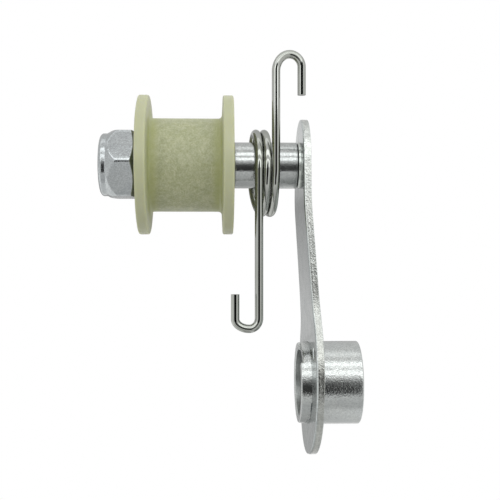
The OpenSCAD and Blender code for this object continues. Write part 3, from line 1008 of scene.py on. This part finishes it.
def spring_tree():
    """Sweeps the wire: cut end, hook, leg, coil, leg, hook and cut end."""
    tree = bpy.data.node_groups.new("hooked_spring", "GeometryNodeTree")
    numbers = ["Wire Radius", "Coil Radius", "Pitch", "Lean", "Sway", "End Rounding"]
    numbers += [side + what for side in ("Lower ", "Upper ") for what in (
        "Peak", "End Height", "Leg Bend", "Leg Drop", "End Bend", "End Drop")]
    sockets = [("Geometry", "NodeSocketGeometry")] + [(label, NUMBER) for label in numbers]
    sockets += [(label, "NodeSocketInt")
                for label in ("Turns", "Steps per Turn", "Hook Steps", "Sides")]
    for label, kind in sockets + [("Place", VECTOR), ("Material", "NodeSocketMaterial")]:
        tree.interface.new_socket(label, in_out="INPUT", socket_type=kind)
    tree.interface.new_socket("Geometry", in_out="OUTPUT", socket_type="NodeSocketGeometry")
    given = tree.nodes.new("NodeGroupInput").outputs
    leave = tree.nodes.new("NodeGroupOutput").inputs

    def made(kind, inputs=None, **settings):
        return node(tree, "GeometryNode" + kind, inputs, **settings).outputs[0]

    def stored(geometry, name, value, kind="FLOAT"):
        """The geometry with a value kept on each point under a name."""
        return made("StoreNamedAttribute", {"Geometry": geometry, "Name": name, "Value": value},
                    data_type=kind, domain="POINT")

    def read(name, kind="FLOAT"):
        return made("InputNamedAttribute", {"Name": name}, data_type=kind)

    index = made("InputIndex")
    wire, coil = given["Wire Radius"], given["Coil Radius"]
    near = times(coil, -1.0)
    high_x = times(given["Pitch"], given["Turns"], 0.5)
    low_x = times(high_x, -1.0)
    low_leg = minus(low_x, given["Lower Leg Bend"])
    high_leg = plus(high_x, given["Upper Leg Bend"])
    rounding = given["End Rounding"]
    hook, cap = given["Hook Steps"], 6
    spots = []

    def stations(count, x, y, z, girth, first):
        """Points whose place and girth follow rules of their number."""
        points = made("Points", {"Count": count, "Position": join(x, y, z)})
        spots.append(stored(stored(points, "station", plus(index, first)), "girth", girth))

    def taper(angle):
        """How far the rounded end is short there, and how thick the wire still is."""
        short, slim = (times(rounding, minus(1.0, maths(wave, angle))) for wave in ("COSINE", "SINE"))
        return short, over(minus(wire, slim), wire)

    quarter = times(index, math.pi / 2 / (cap - 1))
    short, girth = taper(quarter)
    stations(cap, minus(low_leg, given["Lower End Bend"]), near,
             minus(given["Lower End Height"], short), girth, 0.0)
    sweep = over(times(index, math.pi), hook)

    def bend(side, angle, peak_x, left, right, way):
        """Where a hook's bend passes: two quarter ellipses that meet at its peak."""
        cosine, sine = maths("COSINE", angle), maths("SINE", angle)
        on_left = maths("LESS_THAN", cosine, 0.0)
        wide, tall = (linked("ShaderNodeMix", {
            0: on_left, 2: given[side + right + what], 3: given[side + left + what]},
            data_type="FLOAT").outputs[0] for what in ("Bend", "Drop"))
        return (plus(peak_x, times(wide, cosine)),
                plus(given[side + "Peak"], times(tall, minus(sine, way))))

    x, z = bend("Lower ", plus(sweep, math.pi), low_leg, "End ", "Leg ", -1.0)
    stations(plus(hook, 1.0), x, near, z, 1.0, 100.0)
    turn = over(times(index, 2 * math.pi), given["Steps per Turn"])
    sine = maths("SINE", turn)
    pushed = times(sine, sine, minus(0.5, times(sine, 0.5)), given["Sway"])
    x = plus(low_x, over(times(given["Pitch"], turn), 2 * math.pi), pushed)
    stations(plus(times(given["Turns"], given["Steps per Turn"]), 1.0), x,
             times(near, maths("COSINE", turn)), times(coil, sine), 1.0, 1000.0)
    x, z = bend("Upper ", minus(math.pi, sweep), high_leg, "Leg ", "End ", 1.0)
    stations(plus(hook, 1.0), x, near, z, 1.0, 10000.0)
    # The upper end runs the other way: number 0 is the full wire
    short, girth = taper(minus(math.pi / 2, quarter))
    stations(cap, plus(high_leg, given["Upper End Bend"]), near,
             plus(given["Upper End Height"], short), girth, 20000.0)

    together = tree.nodes.new("GeometryNodeJoinGeometry")
    for spot in spots:
        tree.links.new(spot, together.inputs[0])
    curve = made("PointsToCurves", {0: together.outputs[0], "Weight": read("station")})
    curve = made("SetCurveRadius", {"Curve": curve, "Radius": read("girth")})
    run = tree.nodes.new("GeometryNodeSplineParameter").outputs["Length"]
    curve = stored(curve, "run", run)
    upright = maths("ABSOLUTE", split(made("InputTangent"))[2])
    curve = stored(curve, "upright", upright)
    ring = made("CurvePrimitiveCircle", {"Resolution": given["Sides"], "Radius": wire})
    profile = stored(ring, "around", made("InputPosition"), "FLOAT_VECTOR")
    tube = made("CurveToMesh", {"Curve": curve, "Profile Curve": profile, "Fill Caps": True})
    beside = split(read("around", "FLOAT_VECTOR"))
    tube = stored(tube, "wire_path", join(read("run"), beside[0], beside[1]), "FLOAT_VECTOR")
    # The painted dark reflection stands a little left of the wire's front
    facing = split(made("InputNormal"))
    tube = stored(tube, "dark_reflection_front", minus(times(facing[0], -0.11), facing[1]))
    tube = made("Transform", {"Geometry": tube, "Translation": given["Place"],
                              "Rotation": join(0.0, 0.0, given["Lean"])})
    tube = made("SetMaterial", {"Geometry": made("RealizeInstances", {0: tube}),
                                "Material": given["Material"]})
    tree.links.new(tube, leave[0])
    return tree


def set_inputs(modifier, values):
    """Sets a Geometry Nodes modifier's inputs by their sockets' identifiers."""
    known = {item.name: item.identifier for item in modifier.node_group.interface.items_tree
             if item.item_type == "SOCKET" and item.in_out == "INPUT"}
    for name, value in values.items():
        modifier[known[name]] = value


def bake_nodes(name, tree, values):
    """Runs a Geometry Nodes tree once and returns its result as a plain object."""
    seed = add_object(name + "_seed", bpy.data.meshes.new(name + "_seed"))
    modifier = seed.modifiers.new(name, "NODES")
    modifier.node_group = tree
    set_inputs(modifier, values)
    shown = seed.evaluated_get(bpy.context.evaluated_depsgraph_get())
    mesh = bpy.data.meshes.new_from_object(shown)
    mesh.name = name
    seed.modifiers.clear()
    bpy.data.objects.remove(seed)
    return add_object(name, mesh)


# Operators

# Long strip lamps that face the part: name, Y, Z, height and share of the lamp level
LAMPS = (("strip_low", -0.270, 0.1545, 0.115, 1.0), ("strip_high", -0.167, 0.260, 0.074, 1.0),
         ("overhead", 0.0, 0.330, 0.105, 0.34))
LAMP_LENGTH, LAMP_COLOUR = 0.60, (0.97, 0.99, 1.0)
FLOOR_HALF = 4.0
CAMERA_PLACE, CAMERA_TURN = (-0.0232, -0.1753, 0.02645), math.radians(-2.505)


def rays_seen(tree):
    """1 for rays that show the surroundings, and 1 for reflections alone."""
    rays = node(tree, "ShaderNodeLightPath").outputs
    glossy = rays["Is Glossy Ray"]
    seen = plus(rays["Is Camera Ray"], glossy)
    return maths("ADD", seen, rays["Is Transmission Ray"], clamp=True), glossy


def flat_object(name, corners, material):
    mesh = bpy.data.meshes.new(name)
    mesh.from_pydata(corners, [], [(0, 1, 2, 3)])
    mesh.materials.append(material)
    return add_object(name, mesh)


class TENSIONER_OT_stage(bpy.types.Operator):
    """Set the floor, the soft lamps, the dark cards and the camera"""
    bl_idname = "tensioner.stage"
    bl_label = "Set the stage"

    def execute(self, context):
        stage = context.scene.tensioner_stage
        self.floor(stage)
        self.sky(context, stage)
        for name, y, z, height, share in LAMPS:
            self.lamp(name, y, z, height, stage.lamp_level * share)
        # The dark card is the unlit side of the room, the grey one its far wall
        self.card("card_front", (-0.137, 0.078), (-0.1365, 0.14), -0.27,
                  ((-0.05, 0.06), (0.014, 0.09), (0.040, 0.20), (0.066, 0.45), (0.105, 0.95)))
        self.card("card_back", (-0.60, 0.60), (stage.floor_height, 0.30), 0.40,
                  ((-0.08, 0.62), (-0.02, 0.80), (0.05, 0.46), (0.10, 1.0)))
        self.camera(context, stage)
        context.scene.view_settings.view_transform = "Standard"
        return {"FINISHED"}

    def floor(self, stage):
        material, tree, shader, place = start_material("paper", {
            "Roughness": 0.9, "Specular IOR Level": 0.0, "Emission Color": WHITE})
        far = span(vector_maths("LENGTH", place)["Value"], 0.15, 0.34)
        fibre = span(noise_value(place, 90.0, 3.0), 0.3, 0.7, 0.985, 1.0)
        near = tinted((*stage.paper, 1), fibre)
        plug(shader["Base Color"], mix_colour(far, near, BLACK))
        seen, glossy = rays_seen(tree)
        level = times(far, larger(seen, 0.5))
        # A painted pool of light glows on the paper below both ends of the part, seen only in
        # reflections
        x, y, _ = split(place)
        off = maths("ABSOLUTE", plus(x, 0.012))
        painted_light_pool = times(span(off, 0.018, 0.034), span(y, -0.062, -0.050, 0.0, 0.38), glossy)
        plug(shader["Emission Strength"], plus(level, painted_light_pool))
        half, z = FLOOR_HALF, stage.floor_height
        corners = [(-half, -half, z), (half, -half, z), (half, half, z), (-half, half, z)]
        floor = flat_object("floor", corners, material)

    def sky(self, context, stage):
        world = bpy.data.worlds.new("soft_white")
        world.use_nodes = True
        tree = world.node_tree
        background = tree.nodes["Background"].inputs
        background["Color"].default_value = WHITE
        seen, _ = rays_seen(tree)
        way = split(node(tree, "ShaderNodeTexCoord").outputs[0])
        soft = span(way[0], -1.0, 1.0, stage.sky_level * 0.8, stage.sky_level * 1.3)
        plug(background["Strength"], span(seen, 0.0, 1.0, soft, 1.0, smooth=False))
        context.scene.world = world

    def lamp(self, name, y, z, height, level):
        light = bpy.data.lights.new(name, "AREA")
        light.shape = "RECTANGLE"
        light.size, light.size_y = LAMP_LENGTH, height
        light.energy = level * math.pi * LAMP_LENGTH * height
        light.color = LAMP_COLOUR
        lamp = add_object(name, light)
        lamp.location = (0.0, y, z)
        lamp.rotation_euler = (math.atan2(-y, z), 0, 0)
        lamp.visible_camera = False

    def card(self, name, across, up, y, levels):
        """An upright card seen only in reflections; levels are (height, brightness)."""
        material, _, shader, place = start_material(name, {
            "Base Color": BLACK, "Specular IOR Level": 0.0, "Emission Color": WHITE})
        height = split(place)[2]
        rises = [span(height, low, high, 0.0, end - start, smooth=False)
                 for (low, start), (high, end) in zip(levels, levels[1:])]
        plug(shader["Emission Strength"], plus(levels[0][1], *rises))
        (x0, x1), (z0, z1) = across, up
        corners = [(x0, y, z0), (x0, y, z1), (x1, y, z1), (x1, y, z0)]
        card = flat_object(name, corners, material)
        card.visible_camera = False
        card.visible_shadow = False
        card.visible_diffuse = False

    def camera(self, context, stage):
        data = bpy.data.cameras.new("camera")
        data.lens, data.sensor_width = stage.lens, 36.0
        data.clip_start, data.clip_end = 0.01, 50.0
        camera = add_object("camera", data)
        camera.location = CAMERA_PLACE
        camera.rotation_euler = (math.pi / 2, 0, CAMERA_TURN)
        context.scene.camera = camera


class TENSIONER_OT_arm(bpy.types.Operator):
    """Make the joggled arm plate with its rolled, burnished and torn edge"""
    bl_idname = "tensioner.arm"
    bl_label = "Make the arm plate"

    def execute(self, context):
        arm = context.scene.tensioner_arm
        points, faces, torn = arm_mesh(arm)
        piece = add_piece("arm_sheet", points, faces, sheet_material(arm), "arm",
                          ["arm_plate"], sharp=40.0)
        mark_cut_edge(piece, points, torn)
        return {"FINISHED"}


def mark_cut_edge(piece, points, torn):
    """Stores how torn each point of the cut edge is."""
    known = {tuple(np.round(p, 4)): value for p, value in zip(points, torn)}
    values = [known.get(tuple(np.round(np.array(v.co) / MM, 4)), 0.0) for v in piece.data.vertices]
    layer = piece.data.attributes.new("cut_edge", "FLOAT", "POINT")
    layer.data.foreach_set("value", values)


class TENSIONER_OT_bush(bpy.types.Operator):
    """Turn the pivot bush with its worn boss rim"""
    bl_idname = "tensioner.bush"
    bl_label = "Make the pivot bush"

    def execute(self, context):
        parts = context.scene.tensioner_turned
        points, faces = turned(bush_rows(parts), even_angles(256), 0.0, shape=bush_shape)
        tint = tuple(value * 1.08 for value in parts.tint)
        material, tree, shader = metal_material(
            "zinc_bush", tint, 2.9e-5, (0.05, 0.10), 0.9, rings=(0.16, 1.2e-6))
        dull_bore(tree, shader, parts.bore_radius + 0.0002)
        paint_seam_shade(tree, shader)
        add_piece("pivot_tube", points, faces, material, "arm", ["pivot_bush"])
        return {"FINISHED"}


class TENSIONER_OT_stud(bpy.types.Operator):
    """Turn the axle stud with its thread and riveted end"""
    bl_idname = "tensioner.stud"
    bl_label = "Make the stud"

    def execute(self, context):
        parts = context.scene.tensioner_turned
        points, faces = turned(fill_thread(stud_rows(parts)), even_angles(160), AXLE_Z,
                               closed=False, shape=thread_shape(parts))
        material, tree, shader = metal_material(
            "zinc_stud", parts.tint, 1.5e-5, (0.08, 0.14), 2.2, AXLE, rings=(0.10, 2.2e-6))
        shade_stud(tree, shader)
        add_piece("axle_pin", points, faces, material, "arm", ["axle_stud"])
        return {"FINISHED"}


def fill_thread(rows):
    """Adds closely spaced rows where the thread is cut."""
    made = []
    for a, b in zip(rows, rows[1:]):
        threaded = a[1] > 3.5 and b[1] > 3.5 and a[0] < NUT_FACE_X + 0.3
        made += fill_in([a, b], 0.11 if threaded else 9.0, closed=False)[:-1]
    return made + [rows[-1]]


class TENSIONER_OT_roller(bpy.types.Operator):
    """Mould the chain roller with its flanges, fillets and parting line"""
    bl_idname = "tensioner.roller"
    bl_label = "Make the roller"

    def execute(self, context):
        roller = context.scene.tensioner_roller
        points, faces = turned(roller_rows(roller), even_angles(280), AXLE_Z,
                               shape=roller_shape(roller))
        roots = ((ROLLER_LEFT + 2.2) * MM, (ROLLER_RIGHT - 2.2) * MM)
        material = nylon_material("roller_nylon", roller.tint, roller.root_shade_tint, roots, AXLE)
        add_piece("chain_roller", points, faces, material, "roller", ["roller"])
        return {"FINISHED"}


class TENSIONER_OT_nut(bpy.types.Operator):
    """Form the lock nut and the nylon insert in its collar"""
    bl_idname = "tensioner.nut"
    bl_label = "Make the lock nut"

    def execute(self, context):
        nut = context.scene.tensioner_nut
        points, faces = turned(nut_rows(nut), nut_angles(nut), AXLE_Z, shape=nut_shape(nut))
        material, _, _ = metal_material(
            "zinc_nut", nut.tint, 2.0e-5, (0.10, 0.16), 3.3, AXLE, marks=0.6)
        add_piece("hexagon_nut", points, faces, material, "arm", ["lock_nut"])
        left = NUT_FACE_X - (nut.cone_end + nut.collar_length) / MM + 0.42
        rows = fill_in(section([
            (left, 4.02, 0.15), (left + 0.02, 5.1, 0.05), (left + 1.55, 5.1, 0.1),
            (left + 1.55, 4.02, 0.1)]), 0.3)
        points, faces = turned(rows, even_angles(128), AXLE_Z)
        soft = nylon_material("insert_nylon", nut.insert_tint, nut.insert_tint, None, AXLE)
        add_piece("insert_ring", points, faces, soft, "arm", ["nut_insert"])
        return {"FINISHED"}


class TENSIONER_OT_spring(bpy.types.Operator):
    """Sweep the hooked torsion spring from its rule"""
    bl_idname = "tensioner.spring"
    bl_label = "Make the spring"

    def execute(self, context):
        spring = context.scene.tensioner_spring
        wire = spring.wire_diameter / 2
        values = {
            "Wire Radius": wire, "Coil Radius": spring.coil_radius, "Pitch": spring.pitch,
            "Lean": spring.lean, "Sway": spring.sway, "End Rounding": spring.end_round,
            "Lower Peak": spring.lower_bottom + wire - COIL.z,
            "Lower End Height": spring.lower_end - COIL.z,
            "Upper Peak": spring.upper_top - wire - COIL.z,
            "Upper End Height": spring.upper_end - COIL.z,
            "Turns": spring.turns, "Steps per Turn": 120, "Hook Steps": 40, "Sides": 36,
            "Place": COIL, "Material": wire_material(spring)}
        for side in ("lower", "upper"):
            for what in ("leg_bend", "leg_drop", "end_bend", "end_drop"):
                name = f"{side}_{what}"
                values[name.replace("_", " ").title()] = getattr(spring, name)
        piece = bake_nodes("hooked_wire", spring_tree(), values)
        finish_piece(piece, "spring", ["torsion_spring"], 40.0)
        return {"FINISHED"}


class TENSIONER_PT_parts(bpy.types.Panel):
    """Lists the operators that make the chain tensioner"""
    bl_idname = "TENSIONER_PT_parts"
    bl_label = "Chain tensioner"
    bl_space_type = "VIEW_3D"
    bl_region_type = "UI"
    bl_category = "Tensioner"

    def draw(self, context):
        for operator in OPERATORS:
            self.layout.operator(operator.bl_idname)


OPERATORS = (
    TENSIONER_OT_stage, TENSIONER_OT_arm, TENSIONER_OT_bush, TENSIONER_OT_stud,
    TENSIONER_OT_roller, TENSIONER_OT_nut, TENSIONER_OT_spring,
)


def register():
    for name, settings in SETTINGS.items():
        bpy.utils.register_class(settings)
        setattr(bpy.types.Scene, name, PointerProperty(type=settings))
    for operator in OPERATORS:
        bpy.utils.register_class(operator)
    bpy.utils.register_class(TENSIONER_PT_parts)


def unregister():
    bpy.utils.unregister_class(TENSIONER_PT_parts)
    for operator in reversed(OPERATORS):
        bpy.utils.unregister_class(operator)
    for name, settings in SETTINGS.items():
        delattr(bpy.types.Scene, name)
        bpy.utils.unregister_class(settings)


def main():
    register()
    bpy.ops.tensioner.stage()
    bpy.ops.tensioner.arm()
    bpy.ops.tensioner.bush()
    bpy.ops.tensioner.stud()
    bpy.ops.tensioner.roller()
    bpy.ops.tensioner.nut()
    bpy.ops.tensioner.spring()


if __name__ == "__main__":
    main()
